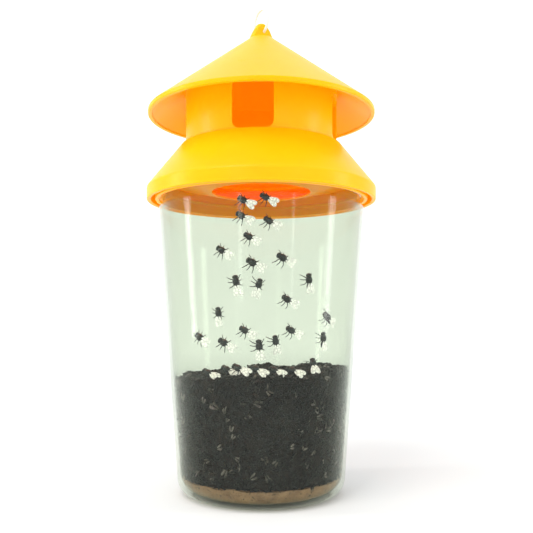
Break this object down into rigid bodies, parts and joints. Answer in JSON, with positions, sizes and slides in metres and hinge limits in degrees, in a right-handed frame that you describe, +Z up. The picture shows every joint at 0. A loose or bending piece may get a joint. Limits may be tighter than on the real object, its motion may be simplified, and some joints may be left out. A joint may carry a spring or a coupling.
{
  "type": "wasp trap",
  "caption": "Hanging wasp trap: a clear tapered cup under a flared screw-on skirt lid, with a conical roof on a collar that has windows for insects.",
  "frame": {"origin": "centre of the standing face, at the bottom of the cup", "axes": "+Z up along the trap's own axis; -Y to the front"},
  "size_m": [0.1, 0.1, 0.2133],
  "materials": {
    "clear_cup": "gloss",
    "bait": "matte",
    "catch": "matte",
    "yellow_shell": "satin",
    "ring": "satin"
  },
  "bodies": {
    "cup": {"catch_cup": "clear_cup", "bait_layer": "bait", "catch_heap": "catch"},
    "funnel": {"entry_funnel": "yellow_shell"},
    "lid": {"skirt_lid": "yellow_shell"},
    "roof": {"roof_cap": "yellow_shell"},
    "ring": {"hang_ring": "ring"}
  },
  "joints": [
    {"name": "lid_lift", "type": "slide", "parent": "cup", "child": "funnel", "axis": [0, 0, 1], "range_m": [0, 0.005]},
    {"name": "lid_turn", "type": "hinge", "parent": "funnel", "child": "lid", "pos_m": [0, 0, 0.13], "axis": [0, 0, 1], "range_deg": [0, 450]},
    {"name": "roof_lift", "type": "slide", "parent": "lid", "child": "roof", "axis": [0, 0, 1], "range_m": [0, 0.014]},
    {"name": "ring_swing", "type": "hinge", "parent": "roof", "child": "ring", "pos_m": [0, 0, 0.2019], "axis": [0.5446, -0.8387, 0], "range_deg": [-110, 110]}
  ],
  "couplings": [
    {"joint": "lid_lift", "follows": "lid_turn", "m_per_rad": 0.0006366}
  ]
}
